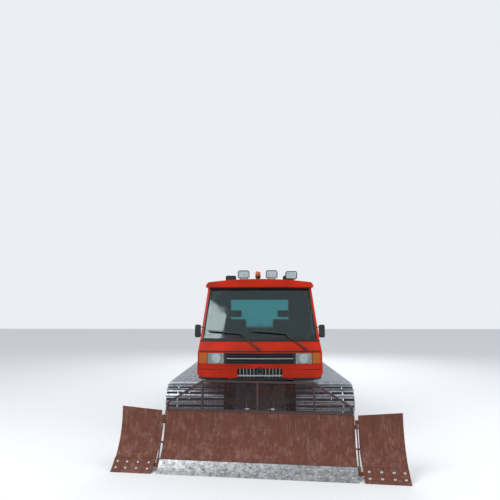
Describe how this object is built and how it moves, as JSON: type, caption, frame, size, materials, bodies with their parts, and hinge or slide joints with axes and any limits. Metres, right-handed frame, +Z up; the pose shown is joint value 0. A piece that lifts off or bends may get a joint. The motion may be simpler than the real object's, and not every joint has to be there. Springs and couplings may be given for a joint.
{
  "type": "snowcat groomer",
  "caption": "Tracked snow groomer with a cab, yawed front blade with folding wings and mesh screen, rear tiller and load bed",
  "frame": {"origin": "on the ground under the middle of the machine's box, on its centre plane to within the blade's parked yaw", "axes": "-Y is forward, +X is the machine's left side, +Z is up"},
  "size_m": [4.1529, 8.3882, 3.0116],
  "materials": {
    "red_paint": "gloss",
    "frame_paint": "satin",
    "black_plastic": "matte",
    "rubber": "matte",
    "tyre": "matte",
    "rim_paint": "satin",
    "track_steel": "worn",
    "rusty_steel": "rough",
    "chrome_rod": "polished",
    "screen_glass": "clear",
    "lamp_glass": "ribbed",
    "amber_lens": "ribbed",
    "seat_fabric": "woven",
    "engine_iron": "cast",
    "mesh_paint": "matte",
    "pale_metal": "satin",
    "red_lens": "ribbed"
  },
  "bodies": {
    "machine": {"chassis_frame": "frame_paint", "wheel_arms": "frame_paint", "tyres": "tyre", "rims": "rim_paint", "sprockets": "track_steel", "track_left": "track_steel", "track_right": "track_steel", "bumper": "red_paint", "intake_bars": "pale_metal", "nose_panel": "red_paint", "grille": "black_plastic", "headlamps": "lamp_glass", "indicators": "amber_lens", "cab_frame": "red_paint", "windscreen": "screen_glass", "window_seals": "rubber", "roof": "red_paint", "cab_floor": "frame_paint", "cab_glass": "screen_glass", "dash": "black_plastic", "seats": "seat_fabric", "wipers": "black_plastic", "roof_lamps": "black_plastic", "beacon": "amber_lens", "mirrors": "black_plastic", "engine_bay": "red_paint", "engine_block": "engine_iron", "exhaust": "track_steel", "load_bed": "red_paint", "tail_lamps": "red_lens"},
    "push_frame": {"lift_frame": "rusty_steel"},
    "lift_barrel": {"lift_barrels": "frame_paint"},
    "lift_rod": {"lift_rods": "chrome_rod"},
    "swivel": {"swivel_head": "rusty_steel"},
    "yaw_left_barrel": {"yaw_barrel_left": "frame_paint"},
    "yaw_left_rod": {"yaw_rod_left": "chrome_rod"},
    "yaw_right_barrel": {"yaw_barrel_right": "frame_paint"},
    "yaw_right_rod": {"yaw_rod_right": "chrome_rod"},
    "blade": {"blade": "rusty_steel", "cutting_edge": "track_steel", "blade_screen": "mesh_paint"},
    "tilt_barrel": {"tilt_barrel": "frame_paint"},
    "tilt_rod": {"tilt_rod": "chrome_rod"},
    "wing_left": {"wing_left": "rusty_steel"},
    "wing_right": {"wing_right": "rusty_steel"},
    "wing_left_barrel": {"wing_barrel_left": "frame_paint"},
    "wing_left_rod": {"wing_rod_left": "chrome_rod"},
    "wing_right_barrel": {"wing_barrel_right": "frame_paint"},
    "wing_right_rod": {"wing_rod_right": "chrome_rod"},
    "door_left": {"door_left": "red_paint", "door_glass_left": "screen_glass"},
    "door_right": {"door_right": "red_paint", "door_glass_right": "screen_glass"},
    "engine_hood": {"engine_hood": "red_paint"},
    "rear_frame": {"rear_frame": "frame_paint", "tiller_housing": "red_paint", "finisher": "rubber"},
    "rear_barrel": {"rear_barrels": "frame_paint"},
    "rear_rod": {"rear_rods": "chrome_rod"},
    "tiller_rotor": {"tiller_rotor": "track_steel"}
  },
  "joints": [
    {"name": "blade_lift", "type": "hinge", "parent": "machine", "child": "push_frame", "pos_m": [0, -2.13, 0.5], "axis": [1, 0, 0], "range_deg": [-25, 8]},
    {"name": "lift_barrel_swing", "type": "hinge", "parent": "machine", "child": "lift_barrel", "pos_m": [0, -2.14, 0.9], "axis": [1, 0, 0], "range_deg": [-18.2, 5.9]},
    {"name": "lift_rod_slide", "type": "slide", "parent": "lift_barrel", "child": "lift_rod", "axis": [0, -0.8693, -0.4943], "range_m": [-0.16261, 0.05272]},
    {"name": "blade_yaw", "type": "hinge", "parent": "push_frame", "child": "swivel", "pos_m": [0, -3.3, 0.4], "axis": [0, 0, 1], "range_deg": [-14, 26]},
    {"name": "yaw_left_barrel_swing", "type": "hinge", "parent": "push_frame", "child": "yaw_left_barrel", "pos_m": [0.4, -2.44, 0.38], "axis": [0, 0, 1], "range_deg": [-0.65, 0.4]},
    {"name": "yaw_left_rod_slide", "type": "slide", "parent": "yaw_left_barrel", "child": "yaw_left_rod", "axis": [-0.1291, -0.9916, 0], "range_m": [-0.12948, 0.07018]},
    {"name": "yaw_right_barrel_swing", "type": "hinge", "parent": "push_frame", "child": "yaw_right_barrel", "pos_m": [-0.4, -2.44, 0.38], "axis": [0, 0, 1], "range_deg": [-0.1316, 0.1237]},
    {"name": "yaw_right_rod_slide", "type": "slide", "parent": "yaw_right_barrel", "child": "yaw_right_rod", "axis": [0.1308, -0.9914, 0], "range_m": [-0.07032, 0.12973]},
    {"name": "blade_tilt", "type": "hinge", "parent": "swivel", "child": "blade", "pos_m": [-0.01777, -3.46907, 0.4], "axis": [-0.1045, -0.9945, 0], "range_deg": [-8, 8]},
    {"name": "tilt_barrel_swing", "type": "hinge", "parent": "swivel", "child": "tilt_barrel", "pos_m": [0.05185, -3.47639, 0.64], "axis": [-0.1045, -0.9945, 0], "range_deg": [-6.98, 6.98]},
    {"name": "tilt_rod_slide", "type": "slide", "parent": "tilt_barrel", "child": "tilt_rod", "axis": [-0.9945, 0.1045, 0], "range_m": [-0.03447, 0.03447]},
    {"name": "wing_left_fold", "type": "hinge", "parent": "blade", "child": "wing_left", "pos_m": [1.34435, -3.90287, 0.37894], "axis": [0.038, 0.362, 0.9314], "range_deg": [-40, 10]},
    {"name": "wing_left_barrel_swing", "type": "hinge", "parent": "blade", "child": "wing_left_barrel", "pos_m": [0.74429, -3.6806, 0.31706], "axis": [0.038, 0.362, 0.9314], "range_deg": [-11.61, 2.99]},
    {"name": "wing_left_rod_slide", "type": "slide", "parent": "wing_left_barrel", "child": "wing_left_rod", "axis": [0.999, -0.0367, -0.0266], "range_m": [-0.0306, 0.11941]},
    {"name": "wing_right_fold", "type": "hinge", "parent": "blade", "child": "wing_right", "pos_m": [-1.44031, -3.6102, 0.37894], "axis": [0.038, 0.362, 0.9314], "range_deg": [-10, 40]},
    {"name": "wing_right_barrel_swing", "type": "hinge", "parent": "blade", "child": "wing_right_barrel", "pos_m": [-0.80716, -3.51753, 0.31706], "axis": [0.038, 0.362, 0.9314], "range_deg": [-2.99, 11.61]},
    {"name": "wing_right_rod_slide", "type": "slide", "parent": "wing_right_barrel", "child": "wing_right_rod", "axis": [-0.9848, 0.1718, -0.0266], "range_m": [-0.0306, 0.11941]},
    {"name": "door_left_swing", "type": "hinge", "parent": "machine", "child": "door_left", "pos_m": [1.082, -2.314, 1.4], "axis": [0, 0, -1], "range_deg": [0, 70]},
    {"name": "door_right_swing", "type": "hinge", "parent": "machine", "child": "door_right", "pos_m": [-1.082, -2.314, 1.4], "axis": [0, 0, 1], "range_deg": [0, 70]},
    {"name": "engine_hood_lift", "type": "hinge", "parent": "machine", "child": "engine_hood", "pos_m": [0, -0.906, 1.87], "axis": [1, 0, 0], "range_deg": [0, 60]},
    {"name": "tiller_lift", "type": "hinge", "parent": "machine", "child": "rear_frame", "pos_m": [0, 2.33, 0.52], "axis": [1, 0, 0], "range_deg": [-6, 25]},
    {"name": "rear_barrel_swing", "type": "hinge", "parent": "machine", "child": "rear_barrel", "pos_m": [0, 2.34, 0.93], "axis": [1, 0, 0], "range_deg": [-4.79, 19.58]},
    {"name": "rear_rod_slide", "type": "slide", "parent": "rear_barrel", "child": "rear_rod", "axis": [0, 0.8944, -0.4472], "range_m": [-0.17048, 0.04168]},
    {"name": "tiller_rotor_spin", "type": "hinge", "parent": "rear_frame", "child": "tiller_rotor", "pos_m": [0, 3.38, 0.24], "axis": [1, 0, 0], "continuous": true}
  ],
  "couplings": [
    {"joint": "lift_barrel_swing", "follows": "blade_lift", "ratio": 0.72353},
    {"joint": "lift_rod_slide", "follows": "blade_lift", "m_per_rad": 0.37039},
    {"joint": "yaw_left_barrel_swing", "follows": "blade_yaw", "ratio": -0.02072},
    {"joint": "yaw_left_rod_slide", "follows": "blade_yaw", "m_per_rad": -0.28312},
    {"joint": "yaw_right_barrel_swing", "follows": "blade_yaw", "ratio": -0.000652},
    {"joint": "yaw_right_rod_slide", "follows": "blade_yaw", "m_per_rad": 0.28368},
    {"joint": "tilt_barrel_swing", "follows": "blade_tilt", "ratio": 0.85838},
    {"joint": "tilt_rod_slide", "follows": "blade_tilt", "m_per_rad": 0.23969},
    {"joint": "wing_left_barrel_swing", "follows": "wing_left_fold", "ratio": 0.28742},
    {"joint": "wing_left_rod_slide", "follows": "wing_left_fold", "m_per_rad": -0.16961},
    {"joint": "wing_right_barrel_swing", "follows": "wing_right_fold", "ratio": 0.28742},
    {"joint": "wing_right_rod_slide", "follows": "wing_right_fold", "m_per_rad": 0.16961},
    {"joint": "rear_barrel_swing", "follows": "tiller_lift", "ratio": 0.77844},
    {"joint": "rear_rod_slide", "follows": "tiller_lift", "m_per_rad": -0.38843}
  ]
}
